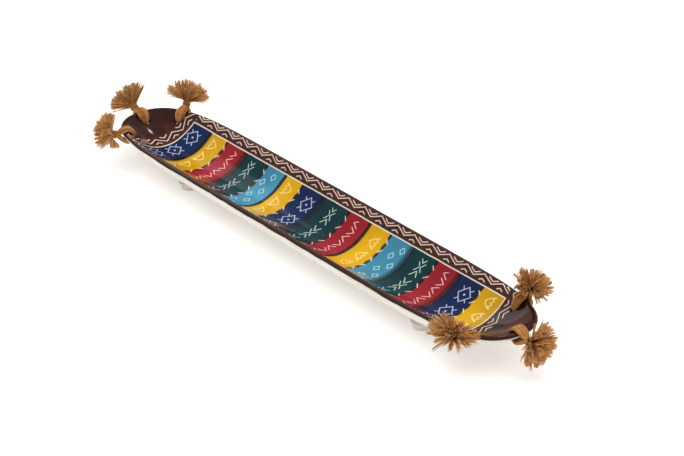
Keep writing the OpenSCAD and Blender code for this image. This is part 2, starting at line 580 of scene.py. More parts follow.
@dataclass(frozen=True)
class GlazeFinish:
    """Gloss glaze: white outside, brown rim and ends, and a painted panel in the hollow.

    Args:
        name: The material's name.
        line: Half width of a brush stroke, in millimetres.
        frame_line: Half width of the cream line round the panel.
        hand: How far the painter's hand wanders, in millimetres.
        panel_reach: Where the figures end across the hollow.
        cap_start: Distance past the panel at which the brown of the ends begins to deepen.
        cap_full: Distance at which it is at its deepest.
        gloss: The glaze's lowest roughness.
    """

    name: str = "painted_glaze"
    line: float = 0.36
    frame_line: float = 0.46
    hand: float = 1.2
    panel_reach: float = 30.0
    cap_start: float = 8.0
    cap_full: float = 15.0
    gloss: float = 0.07

    def diamond(self, sheet: NodeSheet, u: Field, v: Field) -> Field:
        """Measures the distance to a diamond with a dot inside and four ticks outside.

        Args:
            sheet: The node tree.
            u: Distance along the tray from the row.
            v: Distance across the hollow.

        Returns:
            The distance in millimetres.
        """
        length, width, slant, dot_radius = 6.2, 6.6, 4.52, 0.5
        a, b = abs(u), DIAMOND_ROW.across(v)
        outline = abs(a / length + abs(b) / width - 1) * slant
        tick = sheet.segment(a, abs(b), (3.2, 3.5), (5.1, 5.5))
        dot = (a * a + b * b).root() - dot_radius
        return outline.least(tick).least(dot)

    def fan(self, u: Field, v: Field) -> Field:
        """Measures the distance to a fan: a bow closed by a toothed line.

        Args:
            u: Distance along the tray from the row, towards the bow.
            v: Distance across the hollow.

        Returns:
            The distance in millimetres.
        """
        back, length, width, tooth, tooth_height, narrow = 3.2, 7.1, 4.8, 1.6, 1.25, 0.85
        q, b = u + back, abs(FAN_ROW.across(v))
        round_part = (q * q / 51.0 + b * b / 23.0).root() * 0.6
        bow = abs(round_part + (q / length + b / width) * 0.4 - 1) * 5.2
        teeth = abs(q - 2.0 + abs(b.wrapped(tooth)) * tooth_height) * 0.7
        return bow.most(-q).least(teeth.most(b - width)) * narrow

    def chevron(self, sheet: NodeSheet, u: Field, v: Field) -> Field:
        """Measures the distance to a row of chevrons that point to and fro.

        Args:
            sheet: The node tree.
            u: Distance along the tray from the row.
            v: Distance across the hollow.

        Returns:
            The distance in millimetres.
        """
        half, soft = CHEVRON_ROW.half, 0.05
        side = 1 - 2 * abs(CHEVRON_PAIRS.across(v)).rise(half - soft, half + soft)
        return sheet.segment(u * side, abs(CHEVRON_ROW.across(v)), (-3.1, 0.0), (2.1, 3.2))

    def cross(self, sheet: NodeSheet, u: Field, v: Field) -> Field:
        """Measures the distance to a cross with an arrow head on each side.

        Args:
            sheet: The node tree.
            u: Distance along the tray from the row.
            v: Distance across the hollow.

        Returns:
            The distance in millimetres.
        """
        a, b = abs(u), abs(CROSS_ROW.across(v))
        arms = sheet.segment(a, b, (0.7, 0.3), (3.2, 3.6))
        return arms.least(sheet.segment(a, b, (0.0, 3.6), (3.3, 8.1)))

    def lozenges(self, u: Field, v: Field) -> Field:
        """Measures the distance to two staggered rows of small lozenges.

        Args:
            u: Distance along the tray from the row.
            v: Distance across the hollow.

        Returns:
            The distance in millimetres.
        """
        apart, length, width, slant = 3.3, 2.5, 2.9, 1.9
        near = abs(abs(u - apart) / length + abs(NEAR_LOZENGES.across(v)) / width - 1)
        far = abs(abs(u + apart) / length + abs(FAR_LOZENGES.across(v)) / width - 1)
        return near.least(far) * slant

    def figure(self, sheet: NodeSheet, motif: Motif, u: Field, v: Field, flip: Field) -> Field:
        """Measures the distance to the strokes of one figure.

        Args:
            sheet: The node tree.
            motif: The figure.
            u: Distance along the tray from the figures' row.
            v: Distance across the hollow, along its surface.
            flip: 1, or -1 where the figures face the other way.

        Returns:
            The distance in millimetres.
        """
        if motif is Motif.DIAMOND:
            return self.diamond(sheet, u, v)
        if motif is Motif.FAN:
            return self.fan(u * flip, v)
        if motif is Motif.CHEVRON:
            return self.chevron(sheet, u * flip, v)
        return self.cross(sheet, u, v) if motif is Motif.CROSS else self.lozenges(u, v)

    def edges(self, sheet: NodeSheet, x: Field, v: Field) -> tuple[Field, Field]:
        """Draws what lies between the stripes.

        Args:
            sheet: The node tree.
            x: Distance along the tray in millimetres.
            v: Distance across the hollow in millimetres.

        Returns:
            A mask of the dark lines and bites, and a mask of the pale stitches.
        """

        def distance(kind: Edge, back: float = 0.0) -> Field:
            """Measures the distance to the nearest stripe's start of one kind.

            Args:
                kind: The kind of edge.
                back: How far before the start the line lies.

            Returns:
                The distance in millimetres.
            """
            lines = [abs(x - (stripe.start - back)) for stripe in STRIPES[1:] if stripe.edge is kind]
            nearest = lines[0]
            for line in lines[1:]:
                nearest = nearest.least(line)
            return nearest

        bite_depth, bite_half, near, close = 1.9, 0.55, 4.4, 3.0
        knots = distance(Edge.STITCHED)
        beat = STITCH_ROW.across(v)
        swell = 1 - abs(beat) / STITCH_ROW.half
        dark = (knots - bite_depth * (1 - swell * swell) + bite_half).fall(-0.35, 0.35)
        for kind, line in DARK_LINES.items():
            dark = dark.most(distance(kind, line.back).fall(line.core, line.fade) * line.strength)

        signed = sum(
            (x - stripe.start) * abs(x - stripe.start).fall(near, near + 0.1)
            for stripe in STRIPES
            if stripe.edge is Edge.STITCHED
        )
        half, soft = STITCH_ROW.half, 0.05
        slant = 1 - 2 * abs(STITCH_PAIRS.across(v)).rise(half - soft, half + soft)
        stitch = sheet.segment(signed * slant, beat, (-1.5, -1.4), (1.5, 1.4))
        return dark, stitch.stroke(self.line * 0.86) * knots.fall(close, close + 0.2)

    def panel(self, sheet: NodeSheet, x: Field, v: Field) -> tuple[bpy.types.NodeSocket, Field]:
        """Paints the striped panel.

        Args:
            sheet: The node tree.
            x: Distance along the tray in millimetres.
            v: Distance across the hollow in millimetres.

        Returns:
            The panel's colour, and a mask of its raised strokes.
        """
        soft, deepening, dark_cover, stitch_cover, ink_least = 0.2, 0.72, 0.94, 0.9, 0.74
        steps = [(x - stripe.start).rise(-soft, soft) for stripe in STRIPES]
        shares = [here - after for here, after in zip(steps, steps[1:])] + [steps[-1]]
        u = x - sum(share * stripe.middle for share, stripe in zip(shares, STRIPES))
        flip = sum(share * stripe.flip for share, stripe in zip(shares, STRIPES))
        across = v - sum(share * stripe.slide for share, stripe in zip(shares, STRIPES) if stripe.slide)
        of_motif = {
            motif: sum(share for share, stripe in zip(shares, STRIPES) if stripe.motif is motif)
            for motif in Motif
        }
        cloud, streak = sheet.noise(0.028, 3.0, (1.0, 0.45, 0.45))
        colour: object = GROUNDS[Motif.DIAMOND]
        for motif, ground in GROUNDS.items():
            deep = tuple(deepening * part for part in ground)
            tone = sheet.blend(cloud.rise(0.35, 0.7), deep, ground)
            colour = sheet.blend(of_motif[motif], colour, tone)

        dark, stitches = self.edges(sheet, x, v)
        colour = sheet.blend(dark * dark_cover, colour, DARK_EDGE)
        colour = sheet.blend(stitches * stitch_cover, colour, CREAM)
        inside = abs(v).fall(self.panel_reach - 0.5, self.panel_reach)
        strokes = stitches
        for motif, ink in INKS.items():
            drawn = self.figure(sheet, motif, u, across, flip).stroke(self.line) * of_motif[motif] * inside
            colour = sheet.blend(drawn * (ink_least + (1 - ink_least) * streak), colour, ink)
            strokes = strokes.most(drawn)
        return colour, strokes

    def zigzag(self, x: Field, v: Field, side: Field, end: Field, outer: Field) -> Field:
        """Draws the zigzag with its nested chevrons round the panel.

        Args:
            x: Distance along the tray in millimetres.
            v: Distance across the hollow in millimetres.
            side: Distance outside the panel's long edges.
            end: Distance outside the panel's short edges.
            outer: Distance in from the rim's outer edge.

        Returns:
            A mask of its strokes.
        """
        on_side = end.fall(-0.1, 0.1)

        def here(at_side: Number, at_end: Number) -> Field:
            """Takes the first number along the sides and the second across the ends."""
            return at_end + (at_side - at_end) * on_side

        cosine, leg, chevron_end, start, end_stop, rim_stop = 0.88, 9.0, 0.70, 1.2, 11.4, 3.0
        out = here(side, end)
        turn = here(SIDE_RUN.turn(x), END_RUN.turn(v))
        swing = out - here(SIDE_RUN.base, END_RUN.base) - turn * here(SIDE_RUN.height, END_RUN.height)
        outside = abs(swing - here(SIDE_RUN.outside, END_RUN.outside)) * cosine
        outside = outside.most((turn - here(SIDE_RUN.open, END_RUN.open)) * leg)
        inside = (abs(swing + here(SIDE_RUN.inside, END_RUN.inside)) * cosine).most((chevron_end - turn) * leg)
        strokes = (abs(swing) * cosine).least(outside).least(inside).stroke(self.line * 1.08)
        kept = out.rise(start, start + 0.3) * end.fall(end_stop, end_stop + 0.2)
        return strokes * kept * outer.rise(rim_stop, rim_stop + 0.6)

    def body(self, sheet: NodeSheet, pool: Field, foot: Field) -> bpy.types.NodeSocket:
        """Colours the outside: speckled white glaze over bare clay feet.

        Args:
            sheet: The node tree.
            pool: Noise of the glaze's thickness.
            foot: A mask of the feet's lower edges.

        Returns:
            The colour.
        """
        speck = sheet.noise(0.006, 4.0)[0]
        colour = sheet.blend(pool.rise(0.3, 0.75), WHITE_GLAZE, THIN_GLAZE)
        colour = sheet.blend(speck.rise(0.72, 0.80) * 0.4, colour, SPECK)
        return sheet.blend(foot, colour, BARE_CLAY)

    def build(self) -> bpy.types.Material:
        """Makes the glaze's material.

        Returns:
            The material.
        """
        sheet = NodeSheet(self.name)
        x, _, z = sheet.place()
        across = sheet.attribute(TrayBody.ACROSS)
        side = sheet.attribute(TrayBody.BORDER)
        outer = sheet.attribute(TrayBody.OUTER)
        drift_x, drift_v = sheet.noise(0.014, 1.0)
        x_drawn = x + (drift_x - 0.5) * self.hand
        v_drawn = across + (drift_v - 0.5) * self.hand
        side = side + (drift_x - 0.5) * 0.7
        end = (PANEL_START - x).most(x - STRIPES_END) + (drift_v - 0.5) * 0.7
        out = side.most(end)

        panel, raised = self.panel(sheet, x_drawn, v_drawn)
        cloud, pool = sheet.noise(0.035, 3.0)
        reflection_streaks = sheet.noise(0.018, 2.0, (1.0, 0.6, 1.0))[0]
        brown = sheet.blend(cloud.rise(0.4, 0.75) * 0.6, BROWN, WARM_BROWN)
        # Painted reflection: noise streaks reddish brown over the deeper brown of the ends.
        cap = sheet.blend(reflection_streaks.rise(0.50, 0.66) * 0.8, CAP_BROWN, CAP_RED_REFLECTION)
        brown = sheet.blend(end.rise(self.cap_start, self.cap_full) * (0.7 + 0.3 * cloud), brown, cap)
        zigzag = self.zigzag(x_drawn, v_drawn, side, end, outer)
        border = sheet.blend(zigzag * 0.94, brown, PEACH)
        colour = sheet.blend(out.rise(-0.15, 0.15), panel, border)
        colour = sheet.blend(abs(out).stroke(self.frame_line) * 0.96, colour, CREAM)
        colour = sheet.blend(outer.fall(1.4, 3.4) * 0.9, colour, RIM_BROWN)

        foot = z.fall(0.35, 0.6)
        wander = sheet.noise(0.02, 2.0)[0]
        glaze_edge, glaze_wander = 0.9, 1.8
        glazed = (outer - glaze_edge + (wander - 0.5) * glaze_wander).rise(-0.25, 0.35)
        colour = sheet.blend(glazed, self.body(sheet, pool, foot), colour)

        strokes = raised * out.fall(-0.2, 0.0) + zigzag * out.rise(0.0, 0.2)
        ripple = sheet.noise(0.022, 2.0)[0]
        relief = ripple * 0.35 + strokes * glazed * 0.05
        roughness = self.gloss + foot * 0.6 + cloud * 0.08
        return sheet.finish(colour, relief, 0.45, Roughness=roughness, Specular_IOR_Level=0.4)


STRAND_MAP = "strand"


@dataclass(frozen=True)
class YarnFinish:
    """Soft twisted yarn, darker near its root, where painted shade stands for the shade deep in the tassel, and
    paler at its cut ends.

    Args:
        name: The material's name.
        root: Colour near the tie.
        tip: Colour at the far end.
        twist: Length in which a ply goes once round, in millimetres.
        plies: Number of plies.
    """

    name: str
    # root: Colour near the tie, darkened with painted shade.
    root: Colour
    tip: Colour
    twist: float = 4.5
    plies: int = 3

    def build(self) -> bpy.types.Material:
        """Makes the yarn's material.

        Returns:
            The material.
        """
        sheet = NodeSheet(self.name)
        along, turn = sheet.strand_map()
        tone = sheet.attribute(Yarn.TONE)
        reach = sheet.attribute(Yarn.REACH)
        wave = ((along / self.twist + turn * self.plies) * (2 * math.pi)).sine()
        fluff, shade = sheet.noise(0.0016, 3.0)
        # Colour runs from the root, darkened with painted shade, to the paler tip.
        colour = sheet.blend(reach.rise(0.05, 0.95), self.root, self.tip)
        pale_gain, pale_lift, dark_gain = 1.32, 0.02, 0.6
        pale = tuple(min(1.0, part * pale_gain + pale_lift) for part in self.tip)
        dark = tuple(part * dark_gain for part in self.root)
        colour = sheet.blend(tone.rise(0.55, 1.0) * 0.55, colour, pale)
        colour = sheet.blend(tone.fall(0.0, 0.35) * 0.6, colour, dark)
        # Painted shade darkens the grooves between the plies.
        painted_groove_shade = (0 - wave).rise(0.35, 1.0)
        colour = sheet.blend(painted_groove_shade * 0.3, colour, dark)
        colour = sheet.blend(shade.rise(0.5, 0.75) * 0.25, colour, pale)
        relief = wave * 0.08 + fluff * 0.22
        return sheet.finish(
            colour,
            relief,
            0.9,
            Roughness=0.86 + fluff * 0.1,
            Sheen_Weight=0.12,
            Sheen_Roughness=0.5,
            Sheen_Tint=(0.95, 0.80, 0.60),
            Specular_IOR_Level=0.2,
        )


@dataclass(frozen=True)
class FloorFinish:
    """Plain pale paper under the tray, lit a little from within.

    Args:
        name: The material's name.
        tone: Its brightness.
        glow: Strength of its own light.
    """

    name: str = "studio_paper"
    tone: float = 0.90
    glow: float = 0.30

    def build(self) -> bpy.types.Material:
        """Makes the paper's material.

        Returns:
            The material.
        """
        sheet = NodeSheet(self.name)
        grain = sheet.noise(0.004, 3.0)[0]
        colour = sheet.blend(grain * 0.03, (self.tone,) * 3, (self.tone - 0.05,) * 3)
        glow = {"Emission_Color": (1.0, 1.0, 1.0), "Emission_Strength": self.glow}
        return sheet.finish(colour, None, 0.0, Roughness=0.9, Specular_IOR_Level=0.1, **glow)


# ---------------------------------------------------------------- tray


@dataclass
class TrayForm:
    """Surfaces of the tray in millimetres, from the sizes of its CAD box.

    Args:
        half_length: Half the length over the rim.
        half_width: Half the width over the rim.
        height: Height of the rim.
        rim: Radius of the rounded rim.
        rim_turn: How far the rim's rounding runs down into the hollow, in radians.
        depth: Depth of the hollow at its middle.
        foot_height: Height of the body's underside above the table.
        outline_power: How square the outline's ends are.
        outline_round: How round the outline's corners are.
        hollow_powers: How flat the hollow's bottom is, along and across.
        under_powers: How flat the underside is, along and across.
    """

    half_length: float
    half_width: float
    height: float
    rim: float = 2.6
    rim_turn: float = math.radians(50)
    depth: float = 21.7
    foot_height: float = 4.0
    outline_power: float = 8
    outline_round: float = 2.33
    hollow_powers: tuple[float, float] = (7.6, 2.06)
    under_powers: tuple[float, float] = (7.5, 2.7)

    @classmethod
    def from_frame(cls) -> "TrayForm":
        """Reads the sizes from the CAD node.

        Returns:
            The form.
        """
        low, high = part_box("dish")
        size = (high - low) / MM
        return cls(size.x / 2, size.y / 2, size.z)

    @property
    def inset(self) -> float:
        """Distance from the outline to the start of the hollow."""
        return self.rim * (1 + math.sin(self.rim_turn))

    @property
    def lip(self) -> float:
        """Drop from the rim's top to the start of the hollow."""
        return self.rim * (1 - math.cos(self.rim_turn))

    def spread(self, x: np.ndarray, a: float | np.ndarray, b: float | np.ndarray) -> np.ndarray:
        """Half the width of an outline of half length a and half width b, at x."""
        return b * np.maximum(0.0, 1 - np.abs(x / a) ** self.outline_power) ** (1 / self.outline_round)

    def hollow(self, x: np.ndarray, y: np.ndarray) -> np.ndarray:
        """Finds the height of the hollow's surface.

        Args:
            x: Place along the tray.
            y: Place across the tray.

        Returns:
            The height.
        """
        a, b = self.half_length - self.inset, self.half_width - self.inset
        along, across = self.hollow_powers
        share = np.minimum(1.0, np.abs(y) / np.maximum(self.spread(x, a, b), 1e-6))
        long = 1 - np.minimum(1.0, np.abs(x) / a) ** along
        return self.height - self.lip - (self.depth - self.lip) * long * (1 - share**across)

    def under(self, x: np.ndarray, y: np.ndarray) -> np.ndarray:
        """Finds the height of the outer surface below the rim.

        Args:
            x: Place along the tray.
            y: Place across the tray.

        Returns:
            The height.
        """
        top = self.height - self.rim
        along, across = self.under_powers
        width = np.maximum(self.spread(x, self.half_length, self.half_width), 1e-6)
        share = np.minimum(1.0, np.abs(y) / width)
        long = 1 - np.minimum(1.0, np.abs(x) / self.half_length) ** along
        return top - (top - self.foot_height) * long * (1 - share**across)

    def inward(self, x: np.ndarray, y: np.ndarray) -> np.ndarray:
        """Finds the distance of points inside the plan outline, by halving steps.

        Args:
            x: Place along the tray.
            y: Place across the tray.

        Returns:
            The distance.
        """
        low, high, halvings = np.full(len(x), -1.0), np.full(len(x), self.half_width), 32
        for _ in range(halvings):
            middle = (low + high) / 2
            reach = self.spread(x, self.half_length - middle, self.half_width - middle)
            inside = np.abs(y) < reach
            low, high = np.where(inside, middle, low), np.where(inside, high, middle)
        return (low + high) / 2

    def arc(self, x: np.ndarray, y: np.ndarray, steps: int = 64) -> np.ndarray:
        """Finds the length over the hollow's surface from its centre line to points.

        Args:
            x: Place along the tray.
            y: Place across the tray.
            steps: Number of straight steps that the length is added up from.

        Returns:
            The length.
        """
        total = np.zeros(len(x))
        last_y, last_z = np.zeros(len(x)), self.hollow(x, np.zeros(len(x)))
        for step in range(1, steps + 1):
            here = np.abs(y) * step / steps
            z = self.hollow(x, here)
            total += np.hypot(here - last_y, z - last_z)
            last_y, last_z = here, z
        return total


@dataclass
class TrayBody:
    """The glazed tray: one body with its hollow, rim, feet and yarn holes.

    Args:
        form: Its surfaces.
        holes: Centre and direction of each yarn hole, in millimetres.
        around: Points in each ring of the mesh.
        hollow_rings: Rings of the hollow.
        rim_rings: Rings of the rim.
        under_rings: Rings of the underside.
        foot_x: Place of the feet along the tray.
        foot_y: Place of the feet across the tray.
        foot_radius: Radius of a foot.
        hole_radius: Radius of a yarn hole.
        panel_half: Half the painted panel's width where the tray is widest.
        panel_follow: How far the panel's edge follows the outline as it narrows.
        at: Half length, half width and height of the open edge while the body is drawn out.
    """

    form: TrayForm
    holes: Sequence[tuple[Vector, Vector]]
    around: int = 384
    hollow_rings: int = 34
    rim_rings: int = 14
    under_rings: int = 30
    foot_x: float = 138.0
    foot_y: float = 13.0
    foot_radius: float = 6.5
    hole_radius: float = 2.9
    panel_half: float = 29.4
    panel_follow: float = 0.65
    at: tuple[float, float, float] = (0.0, 0.0, 0.0)
    ACROSS = "across"
    BORDER = "border"
    OUTER = "outer"

    def ring(self, scale_x: float, scale_y: float, z: float) -> None:
        """Extrudes the open edge to the next ring.

        Args:
            scale_x: Half the ring's length.
            scale_y: Half the ring's width.
            z: Its height.
        """
        bpy.ops.mesh.extrude_edges_move(TRANSFORM_OT_translate={"value": (0.0, 0.0, (z - self.at[2]) * MM)})
        bpy.ops.transform.resize(
            value=(scale_x / self.at[0], scale_y / self.at[1], 1.0), center_override=(0.0, 0.0, 0.0)
        )
        self.at = (scale_x, scale_y, z)

    def shell(self) -> bpy.types.Object:
        """Models the body as rings drawn out from the hollow, over the rim and under to the middle.

        Returns:
            The body, closed and without feet or holes.
        """
        form = self.form
        deselect()
        bpy.ops.mesh.primitive_circle_add(vertices=self.around, radius=1.0, fill_type="TRIFAN")
        piece = bpy.context.object
        unit = points_of(piece)
        turn = np.arctan2(unit[:, 1], unit[:, 0])
        on_ring = np.hypot(unit[:, 0], unit[:, 1]) > 0.5
        unit[:, 0] = np.where(on_ring, np.cos(turn), 0.0)
        unit[:, 1] = np.where(on_ring, np.sign(np.sin(turn)) * form.spread(np.cos(turn), 1.0, 1.0), 0.0)
        a, b = form.half_length - form.inset, form.half_width - form.inset
        shares = [math.sin(math.pi / 2 * i / self.hollow_rings) for i in range(1, self.hollow_rings + 1)]
        move_points(piece, unit * (a * shares[0] * MM, b * shares[0] * MM, 0.0))
        in_hollow, below = 1000.0, -1000.0
        with editing(piece):
            bpy.ops.mesh.select_all(action="SELECT")
            bpy.ops.transform.translate(value=(0.0, 0.0, in_hollow * MM))
            bpy.ops.mesh.region_to_loop()
            self.at = (a * shares[0], b * shares[0], in_hollow)
            for share in shares[1:-1]:
                self.ring(a * share, b * share, in_hollow)
            for step in range(self.rim_rings + 1):
                angle = form.rim_turn - (form.rim_turn + math.pi / 2) * step / self.rim_rings
                inset = form.rim * (1 + math.sin(angle))
                z = form.height - form.rim * (1 - math.cos(angle))
                self.ring(form.half_length - inset, form.half_width - inset, z)
            for step in range(1, self.under_rings):
                share = math.cos(math.pi / 2 * step / self.under_rings)
                self.ring(form.half_length * share, form.half_width * share, below)
            bpy.ops.mesh.extrude_edges_move()
            bpy.ops.mesh.merge(type="CENTER")
        points = points_of(piece)
        x, y, z = (points / MM).T
        z = np.where(z > in_hollow / 2, form.hollow(x, y), np.where(z < below / 2, form.under(x, y), z))
        points[:, 2] = z * MM
        move_points(piece, points)
        with editing(piece):
            bpy.ops.mesh.select_all(action="SELECT")
            bpy.ops.mesh.normals_make_consistent(inside=False)
        return piece

    def turned(self, profile: Sequence[tuple[float, float]], sides: int) -> bpy.types.Object:
        """Models a closed round solid.

        Args:
            profile: Radius and height of each of its rings in millimetres, from the bottom.
            sides: Number of its sides.

        Returns:
            The solid, standing on the origin along Z.
        """
        deselect()
        radius, height = profile[0]
        bpy.ops.mesh.primitive_circle_add(
            vertices=sides, radius=radius * MM, fill_type="NGON", location=(0.0, 0.0, height * MM)
        )
        piece = bpy.context.object
        with editing(piece):
            bpy.ops.mesh.select_all(action="SELECT")
            for after_radius, after_height in profile[1:]:
                rise = (after_height - height) * MM
                bpy.ops.mesh.extrude_region_move(TRANSFORM_OT_translate={"value": (0.0, 0.0, rise)})
                share = after_radius / radius
                bpy.ops.transform.resize(value=(share, share, 1.0))
                radius, height = after_radius, after_height
            bpy.ops.mesh.select_all(action="SELECT")
            bpy.ops.mesh.normals_make_consistent(inside=False)
        activate(piece)
        bpy.ops.object.transform_apply(location=True, rotation=True, scale=True)
        return piece

    def combine(self, piece: bpy.types.Object, tool: bpy.types.Object, operation: str) -> None:
        """Joins a tool solid to the body or cuts it out, and removes the tool."""
        apply_modifier(piece, "BOOLEAN", operation=operation, object=tool, solver="EXACT")
        bpy.data.objects.remove(tool)

    def add_feet(self, piece: bpy.types.Object) -> None:
        """Joins four low feet, each with a soft lower edge and a hollow flare into the body.

        Args:
            piece: The body.
        """
        r = self.foot_radius
        profile = [(r - 0.7, 0.0), (r - 0.35, 0.09), (r - 0.1, 0.35), (r, 0.7)]
        profile += [(r + 0.3, 2.4), (r + 0.55, 3.4), (r + 1.0, 4.2), (r + 1.8, 4.9), (r + 2.2, 5.6), (r, 8.0)]
        for side_x in (-1, 1):
            for side_y in (-1, 1):
                foot = self.turned(profile, 64)
                foot.data.transform(Matrix.Translation((side_x * self.foot_x * MM, side_y * self.foot_y * MM, 0.0)))
                self.combine(piece, foot, "UNION")

    def cut_holes(self, piece: bpy.types.Object) -> None:
        """Cuts the six yarn holes square through the wall, with softened lips.

        Args:
            piece: The body.
        """
        reach, count = 12, 481
        for centre, along in self.holes:
            steps = np.linspace(-reach, reach, count)
            line = np.array([centre + along * t for t in steps])
            above = line[:, 2] - self.form.hollow(line[:, 0], line[:, 1])
            below = line[:, 2] - self.form.under(line[:, 0], line[:, 1])
            wall = steps[(above < 0) & (below > 0)]
            low, high = wall.min(), wall.max()
            r = self.hole_radius
            profile = [(r, low - 3.0), (r, low - 1.6), (r + 0.7, low), (r + 0.35, low + 0.5), (r, low + 1.4)]
            profile += [(r, high - 1.4), (r + 0.35, high - 0.5), (r + 0.7, high), (r, high + 1.6), (r, high + 3.0)]
            tool = self.turned(profile, 40)
            turn = Vector((0, 0, 1)).rotation_difference(along).to_matrix().to_4x4()
            tool.data.transform(Matrix.Translation(centre * MM) @ turn)
            self.combine(piece, tool, "DIFFERENCE")

    def measure(self, piece: bpy.types.Object) -> None:
        """Keeps the distances that the painted glaze reads.

        Args:
            piece: The body, finished.
        """
        form, clear, wall_clear, wall_paint, widest = self.form, 1e-3, 0.4, 8.0, 38.9
        x, y, z = (points_of(piece) / MM).T
        depth = form.inward(x, y)
        inner = form.inset
        middle = (form.hollow(x, y) + form.under(x, y)) / 2
        in_hollow = (depth >= inner) & (z > middle)
        on_rim = (depth < inner) & (z >= form.height - form.rim - clear)
        angle = np.arctan2(z - (form.height - form.rim), form.rim - depth)
        a, b = form.half_length - inner, form.half_width - inner
        lip_y = form.spread(x, a, b)
        hollow_run = form.arc(x, np.minimum(np.abs(y), lip_y))
        lip_run = form.arc(x, lip_y)
        edge_run = lip_run + form.rim * (math.pi / 2 + form.rim_turn)
        run = np.where(in_hollow, hollow_run, edge_run)
        run = np.where(on_rim, edge_run - form.rim * angle, run)
        outline = form.spread(x, form.half_length, form.half_width)
        line_y = self.panel_half - self.panel_follow * (widest - outline)
        line_run = form.arc(x, np.clip(line_y, 0.0, lip_y))
        outer = np.where(in_hollow, form.rim * angle.max() + (depth - inner), z - (form.height - form.rim))
        in_wall = (z > form.under(x, y) + wall_clear) & (z <= middle) & (depth > inner * 0.8)
        outer = np.where(in_wall, wall_paint, outer)
        outer = np.where(on_rim, form.rim * angle, outer)
        store_field(piece, self.ACROSS, np.sign(y) * run)
        store_field(piece, self.BORDER, run - line_run)
        store_field(piece, self.OUTER, outer)

    def build(self, finish: bpy.types.Material) -> bpy.types.Object:
        """Models and dresses the tray.

        Args:
            finish: Its glaze.

        Returns:
            The finished piece.
        """
        piece = self.shell()
        self.add_feet(piece)
        self.cut_holes(piece)
        piece.name = "tray_body"
        self.measure(piece)
        activate(piece)
        bpy.ops.object.shade_smooth_by_angle(angle=math.radians(40))
        piece.data.materials.clear()
        piece.data.materials.append(finish)
        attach(piece, "dish")
        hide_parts("dish")
        return piece


# ---------------------------------------------------------------- yarn


class Yarn:
    """Makes strands of yarn as round tubes along paths."""

    TONE = "tone"
    REACH = "reach"

    @staticmethod
    def frames(paths: np.ndarray) -> tuple[np.ndarray, np.ndarray]:
        """Carries a pair of cross directions along each path without twist.

        Args:
            paths: Points, by strand, step and axis.

        Returns:
            The two cross directions at each point.
        """
        ahead = np.gradient(paths, axis=1)
        ahead /= np.linalg.norm(ahead, axis=2, keepdims=True) + 1e-12
        first = np.cross(ahead[:, 0], np.array([0.31, 0.52, 0.79]))
        first /= np.linalg.norm(first, axis=1, keepdims=True)
        sides = [first]
        for step in range(1, paths.shape[1]):
            side = sides[-1] - (sides[-1] * ahead[:, step]).sum(1, keepdims=True) * ahead[:, step]
            sides.append(side / (np.linalg.norm(side, axis=1, keepdims=True) + 1e-12))
        side = np.stack(sides, 1)
        return side, np.cross(ahead, side)

    @classmethod
    def spin(cls, name: str, paths: np.ndarray, radii: np.ndarray, sides: int, tones: np.ndarray,
             reach: np.ndarray, finish: bpy.types.Material) -> bpy.types.Object:
        """Builds strands as one piece.

        Args:
            name: The piece's name.
            paths: Points in metres, by strand, step and axis.
            radii: Radius in metres, by strand and step.
            sides: Sides of each tube.
            tones: One shade for each strand, 0 to 1.
            reach: How far from the root each step is, 0 to 1, by strand and step.
            finish: The yarn's material.

        Returns:
            The piece, with its strand map and shades.
        """
        count, steps, _ = paths.shape
        right, up = cls.frames(paths)
        turn = np.arange(sides) * 2 * math.pi / sides
        cosine, sine = np.cos(turn)[:, None], np.sin(turn)[:, None]
        ring = right[:, :, None] * cosine + up[:, :, None] * sine
        points = paths[:, :, None] + ring * radii[:, :, None, None]
        mesh = bpy.data.meshes.new(name)
        index = np.arange(count * steps * sides).reshape(count, steps, sides)
        ahead = np.roll(index, -1, axis=2)
        quads = np.stack([index[:, :-1], ahead[:, :-1], ahead[:, 1:], index[:, 1:]], -1).reshape(-1, 4)
        caps = np.concatenate([index[:, 0, ::-1], index[:, -1]])
        mesh.from_pydata(points.reshape(-1, 3).tolist(), [], quads.tolist() + caps.tolist())
        lengths = np.linalg.norm(np.diff(paths, axis=1), axis=2).cumsum(1) / MM
        lengths = np.concatenate([np.zeros((count, 1)), lengths], 1)
        along = np.broadcast_to(lengths[:, :, None], (count, steps, sides))
        around = np.broadcast_to(turn[None, None] / (2 * math.pi), (count, steps, sides))
        corners = np.zeros(len(mesh.loops), np.int32)
        mesh.loops.foreach_get("vertex_index", corners)
        wrap = around.ravel()[corners]
        last = np.tile([0, 1, 1, 0], len(quads)).astype(bool)
        seam = np.tile((index[0, 0] == sides - 1), count * (steps - 1)).repeat(4)
        wrap[: len(last)] += np.where(last & seam, 1.0, 0.0)
        strand_map = mesh.uv_layers.new(name=STRAND_MAP)
        strand_map.data.foreach_set("uv", np.stack([along.ravel()[corners], wrap], 1).astype(np.float32).ravel())
        piece = bpy.data.objects.new(name, mesh)
        bpy.context.scene.collection.objects.link(piece)
        store_field(piece, cls.TONE, np.repeat(tones, steps * sides))
        store_field(piece, cls.REACH, np.repeat(reach.ravel(), sides))
        mesh.materials.append(finish)
        activate(piece)
        bpy.ops.object.shade_smooth_by_angle(angle=math.radians(60))
        return piece


def smooth_path(knots: np.ndarray, steps: int) -> np.ndarray:
    """Runs a smooth line through knots.

    Args:
        knots: Points, by strand, knot and axis.
        steps: Number of points in the line.

    Returns:
        The line's points, by strand, step and axis.
    """
    spans = knots.shape[1] - 1
    padded = np.concatenate([2 * knots[:, :1] - knots[:, 1:2], knots, 2 * knots[:, -1:] - knots[:, -2:-1]], 1)
    t = np.linspace(0, spans, steps)
    i = np.minimum(t.astype(int), spans - 1)
    f = (t - i)[None, :, None]
    p0, p1, p2, p3 = (padded[:, i + k] for k in range(4))
    return 0.5 * (
        2 * p1 + (p2 - p0) * f + (2 * p0 - 5 * p1 + 4 * p2 - p3) * f**2 + (3 * p1 - p0 - 3 * p2 + p3) * f**3
    )


